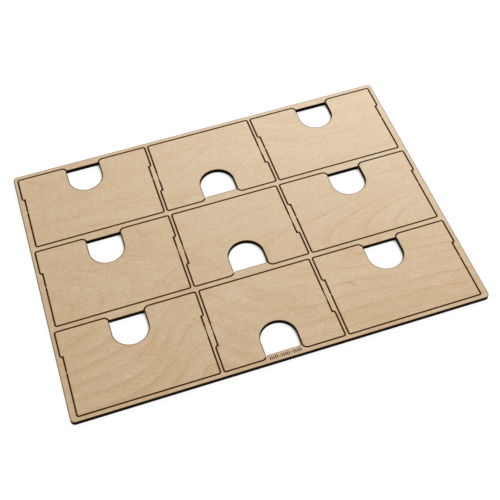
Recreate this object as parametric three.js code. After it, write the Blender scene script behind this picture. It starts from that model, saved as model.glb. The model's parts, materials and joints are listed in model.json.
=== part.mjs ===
// A laser-cut birch plywood kit sheet: nine divider panels for a paint rack organizer, still
// held in the sheet they were cut from. Six wide dividers fill the outer columns and three
// narrow ones, turned end for end, fill the middle column so that the ears nest.
// Millimetres, +Z up. The origin is the middle of the sheet's underside.

import * as THREE from 'three';

// The stock and the laser
const THICKNESS = 3.0;
const KERF = 0.4;

// The dividers, as they measure once they are out
const DIVIDER_HEIGHT = 62.0;
const WIDE_WIDTH = 88.5;
const NARROW_WIDTH = 74.6;
const EAR_REACH = 1.65;
const EAR_HEIGHT = 18.7;
const CORNER_RADIUS = 1.0;

// The thumb notch in the middle of each divider's upper edge
const NOTCH_WIDTH = 23.5;
const NOTCH_DEPTH = 24.4;
const MOUTH_RADIUS = 3.3;
const TONGUE_DEPTH = 2.5;

// What is left of the sheet between and around the dividers
const SIDE_MARGIN = 2.8;
const END_MARGIN = 3.1;
const COLUMN_BAR = 1.9;
const ROW_BAR = 3.6;
const SHEET_RADIUS = 3.0;

// The uncut spots that hold each divider in place
const BRIDGE_LENGTH = 0.9;
const BRIDGE_FROM_EAR = 12.0;

// The greatest distance that a straight facet of an arc may stand off the true curve
const FACET_ERROR = 0.02;

const RIGHT = 0;
const UP = Math.PI / 2;
const LEFT = Math.PI;
const DOWN = -Math.PI / 2;

const windowHeight = DIVIDER_HEIGHT + 2 * KERF;
const wideWindow = WIDE_WIDTH + 2 * (EAR_REACH + KERF);
const columnPitch = (wideWindow + NARROW_WIDTH) / 2 + KERF + COLUMN_BAR;
const rowPitch = windowHeight + ROW_BAR;
const sheetWidth = 2 * (columnPitch + wideWindow / 2 + SIDE_MARGIN);
const sheetDepth = 2 * (rowPitch + windowHeight / 2 + END_MARGIN);

const COLUMNS = [
  { name: 'left', size: 'wide', x: -columnPitch, width: WIDE_WIDTH, turned: false },
  { name: 'centre', size: 'narrow', x: 0, width: NARROW_WIDTH, turned: true },
  { name: 'right', size: 'wide', x: columnPitch, width: WIDE_WIDTH, turned: false },
];
const ROWS = [
  { name: 'front', y: -rowPitch },
  { name: 'middle', y: 0 },
  { name: 'back', y: rowPitch },
];

const birch = { roughness: 0.62, metalness: 0.0 };
const COLOURS = { sheet: 0xd6bd97, wide: 0xd8c09c, narrow: 0xd9c19d, bridge: 0xb08a5c };

// The points of an arc, both ends included, in as few facets as FACET_ERROR allows.
function arc(x, y, radius, start, end) {
  const widestFacet = 2 * Math.acos(1 - FACET_ERROR / radius);
  const facets = Math.ceil(Math.abs(end - start) / widestFacet);
  const points = [];
  for (let i = 0; i <= facets; i += 1) {
    const angle = start + ((end - start) * i) / facets;
    points.push(new THREE.Vector2(x + radius * Math.cos(angle), y + radius * Math.sin(angle)));
  }
  return points;
}

// The other half of an outline that is the same on both sides of the Y axis, walked back.
function mirrored(points) {
  return points.map((point) => new THREE.Vector2(-point.x, point.y)).reverse();
}

// The right half of a divider's outline, from its plain lower edge up to the notch mouth.
// growth is how far outside the divider the outline runs: 0 for the divider itself, and one
// kerf for the window that it leaves.
function rightSide(width, growth) {
  const corner = CORNER_RADIUS + growth;
  const side = width / 2;
  const ear = side + EAR_REACH;
  const top = DIVIDER_HEIGHT / 2;
  const step = top - EAR_HEIGHT;
  return [
    ...arc(side - CORNER_RADIUS, CORNER_RADIUS - top, corner, DOWN, RIGHT),
    new THREE.Vector2(side + growth, step - growth),
    ...arc(ear - CORNER_RADIUS, step + CORNER_RADIUS, corner, DOWN, RIGHT),
    ...arc(ear - CORNER_RADIUS, top - CORNER_RADIUS, corner, RIGHT, UP),
  ];
}

// The right half of the thumb notch: a rounded mouth, a straight side and half of a round end.
function rightNotch() {
  const top = DIVIDER_HEIGHT / 2;
  const radius = NOTCH_WIDTH / 2;
  return [
    ...arc(radius + MOUTH_RADIUS, top - MOUTH_RADIUS, MOUTH_RADIUS, UP, LEFT),
    ...arc(0, top - NOTCH_DEPTH + radius, radius, RIGHT, DOWN),
  ];
}

// The right half of the tongue that the sheet keeps across the mouth of each notch. It hugs the
// rounded mouth one kerf away and ends in a straight edge.
function rightTongue() {
  const top = DIVIDER_HEIGHT / 2;
  const radius = MOUTH_RADIUS + KERF;
  const end = LEFT - Math.asin((MOUTH_RADIUS - TONGUE_DEPTH) / radius);
  return arc(NOTCH_WIDTH / 2 + MOUTH_RADIUS, top - MOUTH_RADIUS, radius, UP, end);
}

function dividerShape(width) {
  const half = [...rightSide(width, 0), ...rightNotch()];
  return new THREE.Shape([...half, ...mirrored(half).slice(1)]);
}

// The window that a divider leaves in the sheet, in the sheet's own frame.
function windowPath(column, row) {
  const half = [...rightSide(column.width, KERF), ...rightTongue()];
  const turn = column.turned ? -1 : 1;
  const place = (point) => new THREE.Vector2(column.x + turn * point.x, row.y + turn * point.y);
  return new THREE.Path([...half, ...mirrored(half)].map(place));
}

function sheetShape() {
  const x = sheetWidth / 2 - SHEET_RADIUS;
  const y = sheetDepth / 2 - SHEET_RADIUS;
  return new THREE.Shape([
    ...arc(x, -y, SHEET_RADIUS, DOWN, RIGHT),
    ...arc(x, y, SHEET_RADIUS, RIGHT, UP),
    ...arc(-x, y, SHEET_RADIUS, UP, LEFT),
    ...arc(-x, -y, SHEET_RADIUS, LEFT, LEFT + UP),
  ]);
}

// One flat piece of the stock, its underside at z = 0.
function cutPiece(name, shape, colour) {
  const geometry = new THREE.ExtrudeGeometry(shape, { depth: THICKNESS, bevelEnabled: false });
  const mesh = new THREE.Mesh(geometry, new THREE.MeshStandardMaterial({ ...birch, color: colour }));
  mesh.name = name;
  return mesh;
}

function carrierSheet() {
  const shape = sheetShape();
  shape.holes = COLUMNS.flatMap((column) => ROWS.map((row) => windowPath(column, row)));
  return cutPiece('carrier_sheet', shape, COLOURS.sheet);
}

function divider(column, row) {
  const name = `${column.size}_divider_${row.name}_${column.name}`;
  const mesh = cutPiece(name, dividerShape(column.width), COLOURS[column.size]);
  mesh.position.set(column.x, row.y, 0);
  mesh.rotation.z = column.turned ? Math.PI : 0;
  return mesh;
}

// One uncut spot across the kerf beside a divider's body, on its west (-X) or east (+X) side.
function bridge(column, row, side) {
  const turn = column.turned ? -1 : 1;
  const inner = column.x + side.sign * (column.width / 2);
  const outer = inner + side.sign * KERF;
  const middle = row.y + turn * (DIVIDER_HEIGHT / 2 - EAR_HEIGHT - BRIDGE_FROM_EAR);
  const west = Math.min(inner, outer);
  const east = Math.max(inner, outer);
  const south = middle - BRIDGE_LENGTH / 2;
  const north = middle + BRIDGE_LENGTH / 2;
  const shape = new THREE.Shape([
    new THREE.Vector2(west, south),
    new THREE.Vector2(east, south),
    new THREE.Vector2(east, north),
    new THREE.Vector2(west, north),
  ]);
  return cutPiece(`bridge_${row.name}_${column.name}_${side.name}`, shape, COLOURS.bridge);
}

const kitSheet = new THREE.Group();
kitSheet.add(carrierSheet());
for (const column of COLUMNS) {
  for (const row of ROWS) {
    kitSheet.add(divider(column, row));
    for (const side of [{ name: 'west', sign: -1 }, { name: 'east', sign: 1 }]) {
      kitSheet.add(bridge(column, row, side));
    }
  }
}

export default kitSheet;
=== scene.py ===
"""Looks for a laser-cut birch plywood kit sheet of nine paint rack dividers.

Each plate is rebuilt on its CAD outline with what a laser leaves: a burnt arris, walls that lean a
little, glue lines between the veneers, and soot on the wood beside the cut. One growth ring field
runs through the whole sheet, so the grain goes on from the carrier into every divider.

Lengths are in millimetres up to the point where a mesh is made; the frame is in metres.
"""

import json
import math

import bmesh
import bpy
import numpy as np
from mathutils import Matrix, Vector, noise
from mathutils.geometry import delaunay_2d_cdt


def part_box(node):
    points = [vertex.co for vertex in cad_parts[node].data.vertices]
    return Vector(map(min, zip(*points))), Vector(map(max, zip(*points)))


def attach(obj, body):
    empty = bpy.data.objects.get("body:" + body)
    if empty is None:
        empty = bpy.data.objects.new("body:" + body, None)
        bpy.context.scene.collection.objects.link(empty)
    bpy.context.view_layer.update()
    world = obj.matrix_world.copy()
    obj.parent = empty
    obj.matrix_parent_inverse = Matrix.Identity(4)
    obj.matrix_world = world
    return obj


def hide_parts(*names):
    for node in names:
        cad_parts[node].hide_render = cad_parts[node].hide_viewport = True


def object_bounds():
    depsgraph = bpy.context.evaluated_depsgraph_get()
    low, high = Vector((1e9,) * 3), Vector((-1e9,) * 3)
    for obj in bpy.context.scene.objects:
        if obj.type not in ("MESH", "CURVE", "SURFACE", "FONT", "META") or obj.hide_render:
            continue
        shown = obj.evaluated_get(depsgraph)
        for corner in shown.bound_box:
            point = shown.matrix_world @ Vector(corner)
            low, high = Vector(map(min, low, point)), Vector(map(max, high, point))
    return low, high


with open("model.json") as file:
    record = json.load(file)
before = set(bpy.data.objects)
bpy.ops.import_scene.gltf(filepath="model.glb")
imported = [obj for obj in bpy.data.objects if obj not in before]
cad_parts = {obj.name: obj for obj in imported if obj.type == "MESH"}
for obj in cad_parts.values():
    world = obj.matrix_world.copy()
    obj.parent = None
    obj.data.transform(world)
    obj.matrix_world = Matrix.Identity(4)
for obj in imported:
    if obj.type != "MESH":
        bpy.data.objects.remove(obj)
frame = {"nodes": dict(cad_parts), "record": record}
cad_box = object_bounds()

MM = 0.001

BRIDGE_NODES = sorted(name for name in frame["nodes"] if name.startswith("bridge"))
PLATE_NODES = sorted(name for name in frame["nodes"] if not name.startswith("bridge"))

# The stock: three veneers, with the laser's cuts through them
THICKNESS = (cad_box[1].z - cad_box[0].z) / MM
SHEET_WIDTH = (cad_box[1].x - cad_box[0].x) / MM
VENEERS = 3
GLUE_LINE = 0.05
GLUE_RECESS = 0.025
WALL_LEAN = 0.05
TOP_ARRIS = 0.10
UNDER_ARRIS = 0.06
ARRIS_WAVER = 0.035

# The rings of vertices beside each cut that carry how far the wood is from it
SOOT_RINGS = (0.9, 0.62, 0.4, 0.24)

# A side of the CAD outline is a facet of an arc, and is split in two, if it is shorter than this
# and turns by less than this at both ends
LONGEST_FACET = 2.0
MOST_FACET_TURN = 0.55

# Flat faces are filled with triangles of about this size
FILL_PITCH = 4.0
FILL_CLEARANCE = 1.6

# Edges that turn by more than this are shaded sharp
SHARP_TURN = math.radians(28)
BRIDGE_SHARP_TURN = math.radians(50)

# Straight sides are divided into steps of about this length
SIDE_STEP = 2.5

# A cut edge faces another piece across the kerf, or else open space, with nothing this near
OPEN_GAP = 0.75

# The laser was off at each bridge, and weak for longer beside some of them. REACH is how far that
# goes along the cut, and LIFT is how much farther from the cut the wood looks for want of soot
BRIDGE_STOPS = (-0.8, -0.5, 0.0, 0.5, 0.8)
UNCUT_REACH = 0.6
UNCUT_LIFT = 0.38
FAINT_BRIDGES = ("front_left_east", "middle_left_east", "centre_west", "centre_east")
FAINT_REACH = 3.6
FAINT_LIFT = 0.28

# A bridge is a squarish strut, thinner in the middle and a little uneven. It stops just short of
# both faces. The powers say how square it is: 1 is a circle and 0 a box
BRIDGE_STATIONS = 7
BRIDGE_SIDES = 16
BRIDGE_WAIST = 0.16
BRIDGE_UNEVENNESS = 0.04
BRIDGE_HEIGHT_SHARE = 0.985
BRIDGE_SIDE_POWER = 0.4
BRIDGE_FACE_POWER = 0.25

# How far the soot reaches on each face, and how strong the smoke stain is there
TOP_SOOT = 0.37
TOP_HAZE = 0.85
UNDER_SOOT = 0.60
UNDER_HAZE = 0.90

# How stained by smoke an open edge is that faces +X, -X, +Y and -Y
NOTCH_STAIN = (1.0, 0.1, 0.45, 0.0)
RIM_STAIN = (0.4, 1.0, 0.0, 0.0)

# How much wider the soot is on a notch wall that faces -X: painted shade, a darker band that stands in
# for the shadow at the foot of those walls
SHADE_WIDENED_SOOT = 0.22

# The tally marks burnt into the tongue of the front middle notch. A dash is a width and a height
MARK_DEPTH = 0.15
MARK_WIDTH = 0.62
MARK_PITCH = 1.15
MARK_HEIGHTS = (2.9, 2.3, 2.3, 2.9, 2.3)
MARK_DASH = (1.3, 0.6)
MARK_SETBACK = 0.3
MARK_GROUPS = 3
MARK_END_STEPS = 4

# Growth rings are the level lines of these hills on a slope: x, y, reach in x, reach in y, height
RING_HILLS = (
    (165, -28, 115, 30, 5.2),
    (-150, -22, 62, 40, 3.8),
    (-44, -68, 26, 42, -2.7),
    (0, -190, 500, 90, -17.0),
    (110, 140, 70, 60, -3.4),
    (-100, 40, 45, 22, 0.5),
    (-95, 75, 70, 25, -0.6),
)
RING_TILT = -0.022
RING_DEPTH = 0.72

# Flaws in the top veneer: x, y, half length, half width, degrees from the X axis, strength
FLAWS = (
    (56.7, -62.7, 4.8, 0.42, -45, 0.75),
    (28, -83, 0.7, 0.5, 0, 0.6),
    (105.8, 25.5, 0.6, 0.5, 0, 0.6),
    (-46, -55, 0.9, 0.7, 20, 0.5),
    (-26, -80, 9.0, 12.0, 20, 0.10),
    (-27, 45, 7.0, 5.0, 0, 0.07),
)

# Where the camera stands, what it looks at, and how far it is rolled
CAMERA_PLACE = (-94.4, -392.6, 528.5)
CAMERA_AIM = (3.58, -15.36, 3.0)
CAMERA_ROLL = math.radians(-4.155)
CAMERA_LENS = 71.465
SENSOR = 36.0

# The studio, in metres and watts
FLOOR_REACH = 8.0
FLOOR_GAP = 0.00002
FLOOR_GLOW = 0.90
BACKDROP_RADIUS = 12.0
BACKDROP_GLOW = 1.05
NEAREST_SEEN = 0.01
FARTHEST_SEEN = 20.0
ROOM_LIGHT = 0.64
LAMP_PLACE = (0.545, 0.945, 0.71)
LAMP_AIM = (0.06, 0.05, 0.0)
LAMP_SIZE = 0.8
LAMP_POWER = 15.0


# ---------------------------------------------------------------- outlines


def outline_loops(node):
    """The closed loops round a node's top face, in mm, walked with the wood on the left."""
    mesh = frame["nodes"][node].data
    points = [Vector((round(v.co.x / MM, 3), round(v.co.y / MM, 3))).freeze() for v in mesh.vertices]
    top = max(v.co.z for v in mesh.vertices)
    sides = set()
    for polygon in mesh.polygons:
        if all(mesh.vertices[i].co.z > top - 0.01 * MM for i in polygon.vertices):
            ring = [points[i] for i in polygon.vertices]
            sides.update(zip(ring, ring[1:] + ring[:1]))
    onward = {a: b for a, b in sides if (b, a) not in sides}
    loops = []
    while onward:
        here, ahead = onward.popitem()
        loop = [here]
        while ahead != loop[0]:
            loop.append(ahead)
            ahead = onward.pop(ahead)
        loops.append(from_lowest(loop))
    return sorted(loops, key=lambda loop: -abs(signed_area(loop)))


def from_lowest(loop):
    """The same loop, begun at a point that doesn't depend on how it was found."""
    start = min(range(len(loop)), key=lambda i: (loop[i].x, loop[i].y))
    return loop[start:] + loop[:start]


def signed_area(loop):
    return sum(a.cross(b) for a, b in zip(loop, loop[1:] + loop[:1])) / 2


def turn_at(loop, i):
    """How far the walk turns at a point, in radians, positive to the left."""
    before = loop[i] - loop[i - 1]
    after = loop[(i + 1) % len(loop)] - loop[i]
    return math.atan2(before.cross(after), before.dot(after))


def rounded(loop):
    """The loop with every facet of an arc split in two, the new point on the arc."""
    turns = [turn_at(loop, i) for i in range(len(loop))]
    finer = []
    for i, here in enumerate(loop):
        ahead = loop[(i + 1) % len(loop)]
        ends = (turns[i], turns[(i + 1) % len(loop)])
        chord = ahead - here
        finer.append(here)
        gentle = ends[0] * ends[1] > 1e-6 and max(map(abs, ends)) < MOST_FACET_TURN
        if gentle and chord.length < LONGEST_FACET:
            step = max(ends, key=abs)
            bulge = chord.length / 2 * math.tan(step / 4)
            outward = Vector((chord.y, -chord.x)).normalized()
            finer.append((here + ahead) / 2 + outward * bulge)
    return finer


def divided(loop, bridges):
    """The loop with points along its straight sides, set closer where it passes a bridge."""
    finer = []
    for here, ahead in zip(loop, loop[1:] + loop[:1]):
        side = ahead - here
        steps = math.ceil(side.length / SIDE_STEP)
        places = [side.length * step / steps for step in range(steps)]
        for bridge in bridges:
            along = (bridge - here).dot(side) / side.length
            beside = abs((bridge - here).cross(side)) / side.length
            if 0 < along < side.length and beside < UNCUT_REACH:
                places = [place for place in places if abs(place - along) > SIDE_STEP / 2]
                places += [along + stop for stop in BRIDGE_STOPS]
        finer += [here + side * (place / side.length) for place in sorted(places)]
    return finer


def lift_at_bridges(loop, bridges, faint_bridges):
    """How much farther from the cut each point of the loop looks, for want of soot."""
    lift = np.zeros(len(loop))
    for bridge in faint_bridges:
        lift[[(point - bridge).length < FAINT_REACH for point in loop]] = FAINT_LIFT
    for bridge in bridges:
        lift[[(point - bridge).length < UNCUT_REACH for point in loop]] = UNCUT_LIFT
    return lift


def inset(loop, distance, waver=0.0):
    """The loop moved into the wood, by a distance that may waver along the cut."""
    moved = []
    for i, here in enumerate(loop):
        back = (here - loop[i - 1]).normalized()
        on = (loop[(i + 1) % len(loop)] - here).normalized()
        left = Vector((-back.y - on.y, back.x + on.x)) / (1 + back.dot(on))
        ripple = waver * noise.noise(Vector((here.x, here.y, 7.0)) * 0.9)
        moved.append(here + left * (distance + ripple))
    return moved


def as_segments(loops):
    """Both ends of every side of the loops, as two arrays."""
    starts = np.array([p for loop in loops for p in loop], float)
    ends = np.array([p for loop in loops for p in loop[1:] + loop[:1]], float)
    return starts, ends


def distance_to(points, starts, ends):
    """How far each point is from the nearest segment."""
    nearest = np.full(len(points), np.inf)
    for a, b in zip(starts, ends):
        along = np.clip(((points - a) @ (b - a)) / ((b - a) @ (b - a)), 0, 1)
        nearest = np.minimum(nearest, np.hypot(*(points - a - along[:, None] * (b - a)).T))
    return nearest


def inside(points, starts, ends):
    """Whether each point is in the wood, by counting the sides that a ray to the right crosses."""
    crossings = np.zeros(len(points), int)
    for a, b in zip(starts, ends):
        spans = (a[1] > points[:, 1]) != (b[1] > points[:, 1])
        rise = b[1] - a[1] if b[1] != a[1] else 1.0
        crossings += spans & (points[:, 0] < a[0] + (points[:, 1] - a[1]) * (b[0] - a[0]) / rise)
    return crossings % 2 == 1


def fill_points(loops):
    """A triangular grid of points over the wood, clear of its edges."""
    starts, ends = as_segments(loops)
    low, high = starts.min(0), starts.max(0)
    rise = FILL_PITCH * math.sqrt(3) / 2
    grid = [
        (low[0] + FILL_PITCH * (column + row % 2 / 2), low[1] + rise * row)
        for row in range(int((high[1] - low[1]) / rise) + 1)
        for column in range(int((high[0] - low[0]) / FILL_PITCH) + 1)
    ]
    grid = np.array(grid)
    grid = grid[inside(grid, starts, ends)]
    return grid[distance_to(grid, starts, ends) > FILL_CLEARANCE]


def smoke_at(loop, neighbours):
    """How stained each point of the loop is, and how much wider its soot is; that extra soot is
    painted shade.

    Both are 0 in a kerf, and depend on the way that the cut edge faces elsewhere."""
    points = np.array(loop, float)
    east, north = (np.array(inset(loop, -1.0), float) - points).T
    facing = np.clip(np.column_stack((east, -east, north, -north)), 0.0, 1.0)
    is_rim = np.ptp(points[:, 0]) > SHEET_WIDTH / 2
    is_open = distance_to(points, *neighbours) > OPEN_GAP
    stain = is_open * (facing @ np.array(RIM_STAIN if is_rim else NOTCH_STAIN))
    # The extra soot width is painted shade, for the shadow at the foot of notch walls that face -X
    return stain, is_open * facing[:, 1] * (0.0 if is_rim else SHADE_WIDENED_SOOT)


# ---------------------------------------------------------------- plates


def wall_profile():
    """Insets and heights down a cut edge, from the top face to the underside, and which waver."""
    lean = WALL_LEAN
    profile = [
        (TOP_ARRIS + lean, THICKNESS, True),
        (TOP_ARRIS / 3 + lean, THICKNESS - TOP_ARRIS / 3, True),
        (lean, THICKNESS - TOP_ARRIS, False),
    ]
    for layer in range(VENEERS - 1, 0, -1):
        middle = THICKNESS * layer / VENEERS
        slope = lean * layer / VENEERS
        profile.append((slope, middle + GLUE_LINE, False))
        profile.append((slope + GLUE_RECESS, middle, True))
        profile.append((slope, middle - GLUE_LINE, False))
    profile.append((0.0, UNDER_ARRIS, False))
    profile.append((UNDER_ARRIS / 3, UNDER_ARRIS / 3, False))
    profile.append((UNDER_ARRIS, 0.0, True))
    return profile


class Plate:
    """Gathers the vertices and faces of one laser-cut piece."""

    VENEER, BURNT, UNDERSIDE, MARK = range(4)

    def __init__(self):
        self.points = []
        self.from_cut = []
        self.stain = []
        self.faces = []
        self.face_materials = []

    def add_ring(self, loop, height, from_cut, stain):
        first = len(self.points)
        self.points += [(p.x, p.y, height) for p in loop]
        self.from_cut += list(from_cut)
        self.stain += list(stain)
        return range(first, len(self.points))

    def add_band(self, inner, outer, material):
        """Quads between two rings of one loop, the first the higher or the deeper in the wood."""
        count = len(inner)
        for i in range(count):
            j = (i + 1) % count
            self.faces.append((outer[i], outer[j], inner[j], inner[i]))
            self.face_materials.append(material)

    def add_flat(self, rings, height, grid, material, facing_up=True):
        """Fills the face that the rings enclose, with the rings that lie in it as holes."""
        ring_points = [index for ring in rings for index in ring]
        flat = [Vector(self.points[i][:2]) for i in ring_points] + [Vector(p) for p in grid]
        local = {index: place for place, index in enumerate(ring_points)}
        borders = [[local[i] for i in ring] for ring in rings]
        edges = [(a, b) for ring in borders for a, b in zip(ring, ring[1:] + ring[:1])]
        found, _, triangles, origins, _, _ = delaunay_2d_cdt(flat, edges, [], 1, 1e-6, True)
        first = len(self.points)
        self.points += [(p[0], p[1], height) for p in grid]
        self.from_cut += [SOOT_RINGS[0]] * len(grid)
        self.stain += [0.0] * len(grid)
        indices = ring_points + list(range(first, len(self.points)))
        loops = [[flat[i] for i in ring] for ring in borders]
        centres = np.array([sum((Vector(found[i]) for i in t), Vector((0, 0))) / 3 for t in triangles])
        wood = inside(centres, *as_segments(loops))
        for triangle, keep in zip(triangles, wood):
            corners = [indices[origins[i][0]] for i in triangle]
            if keep:
                self.faces.append(tuple(corners if facing_up else reversed(corners)))
                self.face_materials.append(material)

    def finish(self, name, materials):
        """The object, in metres, shaded smooth round its arcs and sharp at its arrises."""
        mesh = bpy.data.meshes.new(name)
        mesh.from_pydata([Vector(p) * MM for p in self.points], [], self.faces)
        for attribute, values in (("from_cut", self.from_cut), ("stain", self.stain)):
            layer = mesh.attributes.new(attribute, "FLOAT", "POINT")
            layer.data.foreach_set("value", values)
        for material in materials:
            mesh.materials.append(material)
        mesh.polygons.foreach_set("material_index", self.face_materials)
        shade_by_angle(mesh)
        return show(name, mesh)


def show(name, data):
    """A new object in the scene, at the origin."""
    thing = bpy.data.objects.new(name, data)
    bpy.context.scene.collection.objects.link(thing)
    return thing


def shade_by_angle(mesh, limit=SHARP_TURN):
    """Smooth shading, with every edge sharper than the limit marked sharp."""
    shape = bmesh.new()
    shape.from_mesh(mesh)
    for face in shape.faces:
        face.smooth = True
    for edge in shape.edges:
        edge.smooth = len(edge.link_faces) == 2 and edge.calc_face_angle(0.0) < limit
    shape.to_mesh(mesh)
    shape.free()


def cut_plate(name, loops, neighbours, bridges, faint_bridges, materials, marks=()):
    """A laser-cut plate: both faces, the cut walls, and any marks burnt into its top face."""
    plate = Plate()
    top_rims = []
    under_rims = []
    for loop in (divided(loop, bridges) for loop in loops):
        # The second value is extra soot width beside notch walls facing -X: painted shade for the
        # shadow at their foot
        stain, soot = smoke_at(loop, neighbours)
        lift = lift_at_bridges(loop, bridges, faint_bridges) - soot
        rings = []
        for distance in SOOT_RINGS:
            rings.append(plate.add_ring(inset(loop, distance), THICKNESS, lift + distance, stain))
        for distance, height, wavers in wall_profile():
            edge = inset(loop, distance, ARRIS_WAVER if wavers else 0.0)
            rings.append(plate.add_ring(edge, height, lift + distance, stain))
        for distance in reversed(SOOT_RINGS):
            rings.append(plate.add_ring(inset(loop, distance), 0.0, lift + distance, stain))
        flat_rings = len(SOOT_RINGS)
        for i, (inner, outer) in enumerate(zip(rings, rings[1:])):
            on_top = i < flat_rings
            on_wall = flat_rings <= i < len(rings) - flat_rings - 1
            face = Plate.VENEER if on_top else Plate.BURNT if on_wall else Plate.UNDERSIDE
            plate.add_band(inner, outer, face)
        top_rims.append(rings[0])
        under_rims.append(rings[-1])
    grid = fill_points(loops)
    for mark in marks:
        top_rims.append(burn_mark(plate, mark))
        grid = grid[distance_to(grid, *as_segments([mark])) > MARK_WIDTH]
    plate.add_flat(top_rims, THICKNESS, grid, Plate.VENEER)
    plate.add_flat(under_rims, 0.0, fill_points(loops), Plate.UNDERSIDE, facing_up=False)
    return plate.finish(name, materials)


# ---------------------------------------------------------------- burnt marks


def burn_mark(plate, outline):
    """A shallow pocket in the top face. Returns its rim, a hole in the face."""
    clear = [SOOT_RINGS[0]] * len(outline)
    none = [0.0] * len(outline)
    rim = plate.add_ring(outline, THICKNESS, clear, none)
    lip = plate.add_ring(inset(outline, -MARK_WIDTH / 8), THICKNESS - MARK_DEPTH / 3, clear, none)
    floor = plate.add_ring(inset(outline, -MARK_WIDTH / 4), THICKNESS - MARK_DEPTH, clear, none)
    plate.add_band(rim, lip, Plate.MARK)
    plate.add_band(lip, floor, Plate.MARK)
    back = floor[::-1]
    for i in range(len(floor) // 2 - 1):
        plate.faces.append((back[i], back[i + 1], floor[i + 1], floor[i]))
        plate.face_materials.append(Plate.MARK)
    return rim


def round_slot(centre, width, height):
    """A slot with round ends, walked clockwise so that the wood is on the left."""
    radius = min(width, height) / 2
    reach = Vector((width / 2 - radius, height / 2 - radius))
    first_angle = math.pi if height > width else math.pi / 2
    outline = []
    for end in (0, 1):
        corner = centre + reach * (1 - 2 * end)
        for step in range(MARK_END_STEPS + 1):
            angle = first_angle + math.pi * (end - step / MARK_END_STEPS)
            outline.append(corner + Vector((math.cos(angle), math.sin(angle))) * radius)
    return outline


def tally_marks():
    """Groups of upright strokes with a dash between groups, centred on the front middle tongue."""
    slots = []
    x = 0.0
    for group in range(MARK_GROUPS):
        for height in MARK_HEIGHTS:
            slots.append((x, MARK_WIDTH, height))
            x += MARK_PITCH
        if group < MARK_GROUPS - 1:
            slots.append((x + MARK_DASH[0] / 2 - MARK_PITCH / 4, *MARK_DASH))
            x += MARK_DASH[0] + MARK_PITCH / 2
    middle = (x - MARK_PITCH) / 2
    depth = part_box("narrow_divider_front_centre")[0].y / MM - MARK_SETBACK
    return [round_slot(Vector((place - middle, depth)), w, h) for place, w, h in slots]


# ---------------------------------------------------------------- materials


class Nodes:
    """Short names for the shader nodes that the materials are built from."""

    def __init__(self, name):
        self.material = bpy.data.materials.new(name)
        self.material.use_nodes = True
        self.tree = self.material.node_tree
        self.tree.nodes.clear()
        self.shader = self.add("ShaderNodeBsdfPrincipled")
        output = self.add("ShaderNodeOutputMaterial")
        self.tree.links.new(self.shader.outputs[0], output.inputs["Surface"])
        metres = self.add("ShaderNodeTexCoord").outputs["Object"]
        self.place = self.vector("MULTIPLY", metres, (1 / MM,) * 3)

    def add(self, kind):
        return self.tree.nodes.new(kind)

    def put(self, socket, value):
        if isinstance(value, bpy.types.NodeSocket):
            self.tree.links.new(value, socket)
        else:
            socket.default_value = value

    def math(self, operation, first, second=0.0, third=0.0, clamp=False):
        node = self.add("ShaderNodeMath")
        node.operation = operation
        node.use_clamp = clamp
        for socket, value in zip(node.inputs, (first, second, third)):
            self.put(socket, value)
        return node.outputs[0]

    def vector(self, operation, first, second):
        node = self.add("ShaderNodeVectorMath")
        node.operation = operation
        self.put(node.inputs[0], first)
        self.put(node.inputs[1], second)
        return node.outputs["Value" if operation == "DOT_PRODUCT" else "Vector"]

    def axis(self, vector, name):
        node = self.add("ShaderNodeSeparateXYZ")
        self.put(node.inputs[0], vector)
        return node.outputs[name]

    def noise(self, stretch, detail=2.0, roughness=0.5, seed=0.0):
        """Smooth noise from about 0 to 1, whose features are as long as stretch on each axis."""
        node = self.add("ShaderNodeTexNoise")
        scaled = self.vector("DIVIDE", self.place, stretch)
        self.put(node.inputs["Vector"], self.vector("ADD", scaled, (seed, seed, seed)))
        node.inputs["Scale"].default_value = 1.0
        node.inputs["Detail"].default_value = detail
        node.inputs["Roughness"].default_value = roughness
        return node.outputs["Fac"]

    def band(self, value, low, high, to_low=0.0, to_high=1.0):
        """value from low to high, eased onto to_low to to_high."""
        node = self.add("ShaderNodeMapRange")
        node.interpolation_type = "SMOOTHSTEP"
        node.inputs["From Min"].default_value = low
        node.inputs["From Max"].default_value = high
        node.inputs["To Min"].default_value = to_low
        node.inputs["To Max"].default_value = to_high
        self.put(node.inputs["Value"], value)
        return node.outputs["Result"]

    def attribute(self, name):
        node = self.add("ShaderNodeAttribute")
        node.attribute_name = name
        return node.outputs["Fac"]

    def mix(self, factor, first, second):
        """The first colour where the factor is 0, the second where it is 1."""
        node = self.add("ShaderNodeMix")
        node.data_type = "RGBA"
        self.put(node.inputs["Factor"], factor)
        self.put(node.inputs[6], first)
        self.put(node.inputs[7], second)
        return node.outputs[2]

    def bump(self, height, distance, strength=1.0):
        """Height in units of distance, which is in mm."""
        node = self.add("ShaderNodeBump")
        node.inputs["Strength"].default_value = strength
        node.inputs["Distance"].default_value = distance * MM
        self.put(node.inputs["Height"], height)
        self.put(self.shader.inputs["Normal"], node.outputs["Normal"])

    def finish(self, base, roughness, specular=0.3):
        self.put(self.shader.inputs["Base Color"], base)
        self.put(self.shader.inputs["Roughness"], roughness)
        self.shader.inputs["Specular IOR Level"].default_value = specular
        return self.material


def colour(red, green, blue):
    return (red, green, blue, 1.0)


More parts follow.
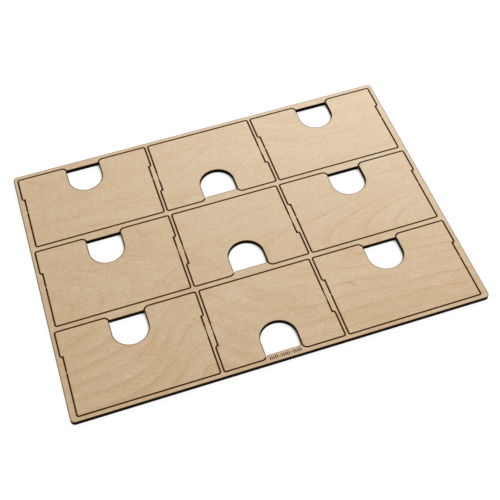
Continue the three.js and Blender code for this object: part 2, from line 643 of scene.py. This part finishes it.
WHITE = colour(1, 1, 1)
BLACK = colour(0, 0, 0)
BIRCH_PALE = colour(0.640, 0.522, 0.346)
BIRCH_WARM = colour(0.587, 0.440, 0.256)
BIRCH_PINK = colour(0.627, 0.468, 0.322)
BIRCH_SHEEN_COOL = colour(0.612, 0.503, 0.345)
RING_BROWN = colour(0.450, 0.265, 0.105)
FLAW_BROWN = colour(0.260, 0.125, 0.045)
SMOKE_GREY = colour(0.215, 0.165, 0.118)
CHAR_BLACK = colour(0.004, 0.003, 0.002)
CHAR_BROWN = colour(0.018, 0.008, 0.003)
SCORCH_AMBER = colour(0.290, 0.105, 0.004)
MARK_BROWN = colour(0.075, 0.038, 0.014)
MARK_DARK = colour(0.040, 0.020, 0.008)
BRIDGE_BROWN = colour(0.320, 0.205, 0.105)
BRIDGE_DARK = colour(0.200, 0.120, 0.055)
PAPER_DULL = colour(0.145, 0.145, 0.145)
PAPER_WHITE = colour(0.155, 0.155, 0.155)


def ring_field(n):
    """The height whose level lines are the growth rings, bent a little by noise."""
    x = n.axis(n.place, "X")
    y = n.axis(n.place, "Y")
    height = n.math("MULTIPLY", y, RING_TILT)
    for hill_x, hill_y, reach_x, reach_y, rise in RING_HILLS:
        across = n.math("DIVIDE", n.math("SUBTRACT", x, hill_x), reach_x)
        along = n.math("DIVIDE", n.math("SUBTRACT", y, hill_y), reach_y)
        square = n.math("ADD", n.math("MULTIPLY", across, across), n.math("MULTIPLY", along, along))
        fall = n.math("EXPONENT", n.math("MULTIPLY", square, -1.0))
        height = n.math("MULTIPLY_ADD", fall, rise, height)
    bend = n.noise((48.0, 24.0, 40.0), 1.5, 0.45, 3.0)
    return n.math("MULTIPLY_ADD", n.math("SUBTRACT", bend, 0.5), 0.9, height)


def ring_lines(n, field, per_ring):
    """Lines at each ring, thinner to the right, sharp on the later side and soft on the earlier."""
    phase = n.math("FRACT", n.math("MULTIPLY", field, per_ring))
    thinness = n.band(n.axis(n.place, "X"), -95.0, 60.0, 2.6, 7.5)
    soft = n.math("POWER", phase, thinness)
    return n.math("MULTIPLY", soft, n.band(phase, 0.94, 1.0, 1.0, 0.0))


def flaw(n, x, y, length, width, degrees, strength):
    """A soft-edged dark ellipse in the wood."""
    place = n.vector("SUBTRACT", n.place, (x, y, 0))
    turn = math.radians(degrees)
    along = n.vector("DOT_PRODUCT", place, (math.cos(turn) / length, math.sin(turn) / length, 0))
    across = n.vector("DOT_PRODUCT", place, (-math.sin(turn) / width, math.cos(turn) / width, 0))
    square = n.math("ADD", n.math("MULTIPLY", along, along), n.math("MULTIPLY", across, across))
    return n.band(square, 0.25, 1.6, strength, 0.0)


def birch_tone(n, seed):
    """The ground colour of the veneer, in broad patches, with a cooler tint towards the back that is
    painted sheen from the lamp behind.
    """
    patch = n.noise((60.0, 34.0, 50.0), 2.0, 0.5, seed)
    tone = n.mix(n.band(patch, 0.3, 0.7), BIRCH_PALE, BIRCH_WARM)
    blush = n.noise((16.0, 9.0, 20.0), 2.0, 0.5, seed + 2.0)
    tone = n.mix(n.band(blush, 0.42, 0.70, 0.0, 0.5), tone, BIRCH_PINK)
    # Painted sheen: the tone turns cooler towards the back, where the lamp's sheen falls
    return n.mix(n.band(n.axis(n.place, "Y"), -95.0, 40.0, 0.0, 0.75), tone, BIRCH_SHEEN_COOL)


def with_rings(n, wood, seed):
    """Growth rings, strongest at the front right, with fainter ones between them in places."""
    field = ring_field(n)
    strength = n.band(n.noise((60.0, 14.0, 40.0), 1.0, 0.5, seed + 5.0), 0.30, 0.62, 0.35, 1.0)
    strength = n.math("MULTIPLY", strength, n.band(n.axis(n.place, "Y"), -95.0, 30.0, 1.55, 0.75))
    strength = n.math("MULTIPLY", strength, n.band(n.axis(n.place, "X"), 20.0, 60.0, 0.56, 1.0))
    main = n.math("MULTIPLY", ring_lines(n, field, 1.0), strength)
    fainter = n.band(n.noise((40.0, 12.0, 40.0), 1.0, 0.5, seed + 6.0), 0.42, 0.68, 0.0, 0.7)
    minor = n.math("MULTIPLY", ring_lines(n, n.math("ADD", field, 0.3), 2.0), fainter)
    return n.mix(n.math("MULTIPLY", n.math("MAXIMUM", main, minor), RING_DEPTH), wood, RING_BROWN)


def with_soot(n, wood, seed, soot_reach, haze):
    """Smoke stains, a scorched halo and soot beside the cuts. Also returns 0 in soot, 1 clear of it.

    The laser's focus, and so the width of the soot, changes a little from the front to the back."""
    ragged = n.math("MULTIPLY_ADD", n.noise((0.8, 0.8, 0.8), 2.0, 0.6, seed), 0.16, -0.08)
    focus = n.band(n.axis(n.place, "Y"), -95.0, 95.0, 0.04, -0.02)
    near = n.math("ADD", n.math("ADD", n.attribute("from_cut"), ragged), focus)
    # The grey band beside open edges is stronger towards the left of the sheet
    leftward_weight = n.band(n.axis(n.place, "X"), -SHEET_WIDTH / 2, SHEET_WIDTH / 2, 1.35, 0.5)
    stain = n.math("MULTIPLY", n.attribute("stain"), leftward_weight)
    smoke = n.math("MULTIPLY", n.band(near, 0.50, 0.95, haze, 0.0), stain, clamp=True)
    wood = n.mix(smoke, wood, SMOKE_GREY)
    halo = n.band(near, soot_reach * 0.8, soot_reach * 1.9, 0.90, 0.0)
    wood = n.mix(halo, wood, SCORCH_AMBER)
    clear = n.band(near, soot_reach * 0.65, soot_reach * 0.87)
    return n.mix(clear, CHAR_BROWN, wood), clear


def birch_face(name, seed, soot_reach, haze, flaws=()):
    """Bare rotary-cut birch veneer, darkened beside the cuts. Soot is dull and has no sheen."""
    n = Nodes(name)
    wood = with_rings(n, birch_tone(n, seed), seed)
    for shape in flaws:
        wood = n.mix(flaw(n, *shape), wood, FLAW_BROWN)
    fibre = n.noise((7.0, 0.16, 0.5), 3.0, 0.65, seed + 9.0)
    wood = n.mix(n.band(fibre, 0.35, 0.72, 0.0, 0.24), wood, RING_BROWN)
    streak = n.noise((9.0, 0.9, 3.0), 2.0, 0.6, seed + 11.0)
    wood = n.mix(n.band(streak, 0.30, 0.75, 0.0, 0.20), wood, RING_BROWN)
    fleck = n.noise((2.0, 0.75, 0.8), 2.0, 0.75, seed + 14.0)
    wood = n.mix(n.band(fleck, 0.36, 0.70, 0.0, 0.50), wood, RING_BROWN)
    mottle = n.noise((3.2, 1.6, 2.0), 1.5, 0.6, seed + 17.0)
    wood = n.mix(n.band(mottle, 0.30, 0.75, 0.0, 0.20), wood, RING_BROWN)
    wood, clear = with_soot(n, wood, seed, soot_reach, haze)
    n.put(n.shader.inputs["Specular Tint"], n.mix(clear, BLACK, WHITE))
    n.bump(n.math("SUBTRACT", fibre, n.math("MULTIPLY", fleck, 0.5)), 0.03, 0.6)
    rough = n.math("MULTIPLY_ADD", clear, -0.45, n.band(fibre, 0.2, 0.8, 0.92, 1.0))
    return n.finish(wood, rough, specular=0.5)


def burnt_edge():
    """Wood charred by the laser, blackest in the core, with the upright ribs of its pulses."""
    n = Nodes("laser_charred_edge")
    ribs = n.noise((0.22, 0.22, 5.0), 2.0, 0.6, 2.0)
    patch = n.noise((4.0, 4.0, 0.7), 3.0, 0.6, 8.0)
    height = n.axis(n.place, "Z")
    from_middle = n.math("ABSOLUTE", n.math("SUBTRACT", height, THICKNESS / 2))
    outer_veneers = n.band(from_middle, 0.45, 0.6, 0.35, 1.0)
    brown = n.math("MULTIPLY", n.band(patch, 0.42, 0.75), outer_veneers)
    char = n.mix(brown, CHAR_BLACK, CHAR_BROWN)
    char = n.mix(n.band(ribs, 0.55, 0.8, 0.0, 0.4), char, CHAR_BROWN)
    n.bump(ribs, 0.05, 0.8)
    return n.finish(char, n.band(patch, 0.2, 0.8, 0.7, 0.9), specular=0.04)


def burnt_mark():
    """The floor of an engraved mark: browned wood with the laser's scan lines."""
    n = Nodes("engraved_mark")
    scan = n.noise((3.0, 0.1, 1.0), 1.0, 0.5, 4.0)
    patch = n.noise((0.7, 0.7, 0.7), 2.0, 0.6, 6.0)
    brown = n.mix(n.band(patch, 0.3, 0.7), MARK_BROWN, MARK_DARK)
    brown = n.mix(n.band(scan, 0.4, 0.7, 0.0, 0.4), brown, CHAR_BROWN)
    n.bump(scan, 0.03, 0.7)
    return n.finish(brown, n.band(patch, 0.2, 0.8, 0.6, 0.8), specular=0.2)


def bridge_wood():
    """The uncut spots across the kerf: browned, fibrous wood."""
    n = Nodes("scorched_bridge_wood")
    fibre = n.noise((1.2, 0.12, 0.2), 3.0, 0.6, 1.0)
    patch = n.noise((0.5, 0.5, 0.5), 2.0, 0.5, 5.0)
    wood = n.mix(n.band(fibre, 0.3, 0.7), BRIDGE_BROWN, BRIDGE_DARK)
    wood = n.mix(n.band(patch, 0.55, 0.9, 0.0, 0.5), wood, CHAR_BROWN)
    n.bump(fibre, 0.05, 0.8)
    return n.finish(wood, n.band(fibre, 0.2, 0.8, 0.6, 0.8))


def white_floor():
    """The plain white surface that the sheet lies on. It glows, except in the cuts and where a notch
    wall keeps the light from +X off it; there the lack of glow is painted shadow. To the left of the
    sheet it glows all over."""
    n = Nodes("studio_floor")
    paper = n.mix(n.noise((3.0, 3.0, 3.0), 2.0, 0.5), PAPER_DULL, PAPER_WHITE)
    open_sky = n.add("ShaderNodeAmbientOcclusion")
    open_sky.samples = 16
    open_sky.inputs["Distance"].default_value = 2 * THICKNESS * MM
    towards_light = n.vector("MULTIPLY", (1.0, 0.0, 1.0), (math.sqrt(0.5),) * 3)
    n.put(open_sky.inputs["Normal"], towards_light)
    # Painted shadow: the glow fades where the tilted ambient occlusion is blocked, in the cuts and at
    # the foot of walls facing -X
    lit = n.band(open_sky.outputs["AO"], 0.22, 0.50)
    left_rim = -SHEET_WIDTH / 2
    beyond = n.band(n.axis(n.place, "X"), left_rim - 0.3, left_rim + 0.3, 1.0, 0.0)
    glow = n.math("MULTIPLY", n.math("MAXIMUM", lit, beyond), FLOOR_GLOW)
    n.put(n.shader.inputs["Emission Strength"], glow)
    n.shader.inputs["Emission Color"].default_value = WHITE
    return n.finish(paper, 0.8, specular=0.0)


def white_wall():
    """The backdrop: it only glows."""
    n = Nodes("white_backdrop")
    n.shader.inputs["Emission Strength"].default_value = BACKDROP_GLOW
    n.shader.inputs["Emission Color"].default_value = WHITE
    return n.finish(BLACK, 1.0, specular=0.0)


# ---------------------------------------------------------------- bridges


def squared(turn, power):
    """A sine or cosine pushed towards 1 or -1, which makes a circle squarish."""
    return math.copysign(abs(turn) ** power, turn)


def bridge_ring(middle, half, along):
    """The points round a bridge, in mm, at a place from -1 to 1 along it."""
    waist = 1.0 - BRIDGE_WAIST * (1 - along * along)
    ring = []
    for step in range(BRIDGE_SIDES):
        angle = 2 * math.pi * (step + 0.5) / BRIDGE_SIDES
        y = squared(math.cos(angle), BRIDGE_SIDE_POWER) * half.y * waist
        z = squared(math.sin(angle), BRIDGE_FACE_POWER) * half.z * BRIDGE_HEIGHT_SHARE
        uneven = noise.noise(Vector((middle.x + along * 3, y * 4 + middle.y, z * 2)))
        y *= 1 + BRIDGE_UNEVENNESS * uneven
        ring.append(middle + Vector((along * half.x, y, z)))
    return ring


def bridge_piece(node, material):
    """One holding bridge: a short strut, waisted and rounded where the laser passed on each side."""
    low, high = (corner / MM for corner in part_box(node))
    middle = (low + high) / 2
    half = (high - low) / 2
    shape = bmesh.new()
    rings = []
    for station in range(BRIDGE_STATIONS):
        along = -1 + 2 * station / (BRIDGE_STATIONS - 1)
        rings.append([shape.verts.new(p * MM) for p in bridge_ring(middle, half, along)])
    for near, far in zip(rings, rings[1:]):
        for i in range(BRIDGE_SIDES):
            j = (i + 1) % BRIDGE_SIDES
            shape.faces.new((near[i], near[j], far[j], far[i]))
    shape.faces.new(reversed(rings[0]))
    shape.faces.new(rings[-1])
    bmesh.ops.recalc_face_normals(shape, faces=shape.faces)
    mesh = bpy.data.meshes.new(node + "_wood")
    shape.to_mesh(mesh)
    shape.free()
    mesh.materials.append(material)
    shade_by_angle(mesh, BRIDGE_SHARP_TURN)
    return show(node + "_wood", mesh)


# ---------------------------------------------------------------- the object


def body_of(node):
    bodies = frame["record"]["behaviour"]["bodies"]
    return next(body for body, nodes in bodies.items() if node in nodes)


def stand_in(piece, node):
    """The piece takes the CAD node's place on its body."""
    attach(piece, body_of(node))
    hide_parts(node)


def build_plates():
    """The carrier sheet and the nine dividers."""
    centres = {name: (sum(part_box(name), Vector()) / (2 * MM)).to_2d() for name in BRIDGE_NODES}
    bridges = list(centres.values())
    faint = [centre for name, centre in centres.items() if name.endswith(FAINT_BRIDGES)]
    outlines = {name: [rounded(loop) for loop in outline_loops(name)] for name in PLATE_NODES}
    materials = [
        birch_face("birch_veneer_top", 0.0, TOP_SOOT, TOP_HAZE, FLAWS),
        burnt_edge(),
        birch_face("birch_veneer_underside", 20.0, UNDER_SOOT, UNDER_HAZE),
        burnt_mark(),
    ]
    for name, loops in outlines.items():
        others = [loop for other in outlines if other != name for loop in outlines[other]]
        neighbours = as_segments(others)
        is_carrier = name == "carrier_sheet"
        marks = tally_marks() if is_carrier else ()
        piece = cut_plate(name + "_plywood", loops, neighbours, bridges, faint, materials, marks)
        stand_in(piece, name)


def build_bridges():
    material = bridge_wood()
    for name in BRIDGE_NODES:
        stand_in(bridge_piece(name, material), name)


# ---------------------------------------------------------------- the studio


def build_floor():
    mesh = bpy.data.meshes.new("studio_floor")
    signs = ((-1, -1), (1, -1), (1, 1), (-1, 1))
    corners = [(x * FLOOR_REACH, y * FLOOR_REACH, -FLOOR_GAP) for x, y in signs]
    mesh.from_pydata(corners, [], [(0, 1, 2, 3)])
    mesh.materials.append(white_floor())
    show("studio_floor", mesh)


def build_backdrop():
    """A white dome far behind everything, which the camera sees and which lights nothing."""
    shape = bmesh.new()
    bmesh.ops.create_icosphere(shape, subdivisions=4, radius=BACKDROP_RADIUS)
    mesh = bpy.data.meshes.new("white_backdrop")
    shape.to_mesh(mesh)
    shape.free()
    mesh.materials.append(white_wall())
    dome = show("white_backdrop", mesh)
    dome.visible_diffuse = False
    dome.visible_glossy = False
    dome.visible_transmission = False
    dome.visible_volume_scatter = False
    dome.visible_shadow = False


def build_lights():
    """A white room, and one large soft lamp behind and to the right of the sheet."""
    world = bpy.data.worlds.new("white_room")
    world.use_nodes = True
    background = world.node_tree.nodes["Background"]
    background.inputs["Color"].default_value = WHITE
    background.inputs["Strength"].default_value = ROOM_LIGHT
    bpy.context.scene.world = world
    lamp = bpy.data.lights.new("soft_key", "AREA")
    lamp.shape = "SQUARE"
    lamp.size = LAMP_SIZE
    lamp.energy = LAMP_POWER
    holder = show("soft_key", lamp)
    holder.location = LAMP_PLACE
    towards = Vector(LAMP_AIM) - Vector(LAMP_PLACE)
    holder.rotation_euler = towards.to_track_quat("-Z", "Y").to_euler()


def build_camera():
    """The camera, and colours shown as they are."""
    camera = bpy.data.cameras.new("camera")
    camera.lens = CAMERA_LENS
    camera.sensor_width = SENSOR
    camera.clip_start = NEAREST_SEEN
    camera.clip_end = FARTHEST_SEEN
    holder = show("camera", camera)
    place = Vector(CAMERA_PLACE) * MM
    look = (Vector(CAMERA_AIM) * MM - place).to_track_quat("-Z", "Y")
    roll = Matrix.Rotation(CAMERA_ROLL, 4, "Z")
    holder.matrix_world = Matrix.Translation(place) @ look.to_matrix().to_4x4() @ roll
    bpy.context.scene.camera = holder
    bpy.context.scene.view_settings.view_transform = "Standard"


build_plates()
build_bridges()
build_floor()
build_backdrop()
build_lights()
build_camera()
